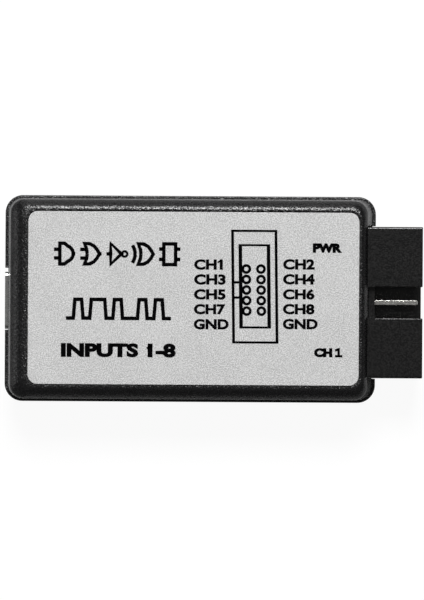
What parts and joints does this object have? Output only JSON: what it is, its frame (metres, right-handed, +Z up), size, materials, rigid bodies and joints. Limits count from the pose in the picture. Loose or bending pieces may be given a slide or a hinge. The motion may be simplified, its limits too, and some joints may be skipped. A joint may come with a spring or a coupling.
{
  "type": "logic analyzer",
  "caption": "Pocket USB logic analyzer: two-shell black case with a recessed silver label, a mini USB port at one end and a keyed box header at the other.",
  "frame": {"origin": "middle of the whole length and width, on the surface that the case stands on", "axes": "+X from the USB end towards the box header, +Y across the case, +Z up towards the label"},
  "size_m": [0.0562, 0.0278, 0.014],
  "materials": {
    "case_plastic": "black ABS with a fine spark-eroded texture",
    "label_film": "silver-grey printed film, satin",
    "board_laminate": "green solder mask, semi-gloss",
    "header_plastic": "black moulded polyester, semi-gloss",
    "pin_metal": "tin-plated brass",
    "solder": "tin solder, bright",
    "port_steel": "tin-plated steel",
    "port_plastic": "black moulded nylon",
    "contact_gold": "gold-flashed contacts",
    "chip_epoxy": "moulded black epoxy",
    "lead_metal": "tin-plated copper alloy",
    "crystal_steel": "nickel-plated drawn steel",
    "crystal_seat": "black moulded seat",
    "lamp_carrier": "white laminate",
    "power_lens": "clear red-tinted resin",
    "channel_lens": "clear green-tinted resin",
    "end_cap_metal": "tinned end caps",
    "resistor_black": "glazed black film on alumina",
    "ceramic_tan": "fired tan ceramic",
    "tantalum_yellow": "yellow moulded epoxy",
    "fuse_green": "green coated polymer"
  },
  "bodies": {
    "base": {"lower_shell": "case_plastic", "circuit_board": "board_laminate", "header_shroud": "header_plastic", "header_pins": "pin_metal", "header_solder_joints": "solder", "usb_shell": "port_steel", "usb_insulator": "port_plastic", "usb_contacts": "contact_gold", "microcontroller_body": "chip_epoxy", "buffer_body": "chip_epoxy", "memory_body": "chip_epoxy", "regulator_body": "chip_epoxy", "microcontroller_leads": "lead_metal", "buffer_leads": "lead_metal", "memory_leads": "lead_metal", "regulator_leads": "lead_metal", "crystal_leads": "lead_metal", "crystal_can": "crystal_steel", "crystal_base": "crystal_seat", "power_lamp_base": "lamp_carrier", "channel_lamp_base": "lamp_carrier", "power_lamp_lens": "power_lens", "channel_lamp_lens": "channel_lens", "lamp_terminals": "end_cap_metal", "resistor_terminals": "end_cap_metal", "ceramic_capacitor_terminals": "end_cap_metal", "tantalum_capacitor_terminals": "end_cap_metal", "resettable_fuse_terminals": "end_cap_metal", "resistor_bodies": "resistor_black", "ceramic_capacitor_bodies": "ceramic_tan", "tantalum_capacitor_bodies": "tantalum_yellow", "resettable_fuse_body": "fuse_green"},
    "cover": {"upper_shell": "case_plastic", "top_label": "label_film"}
  },
  "joints": [
    {"name": "cover_lift", "type": "slide", "parent": "base", "child": "cover", "axis": [0, 0, 1], "range_m": [0, 0.02]}
  ]
}
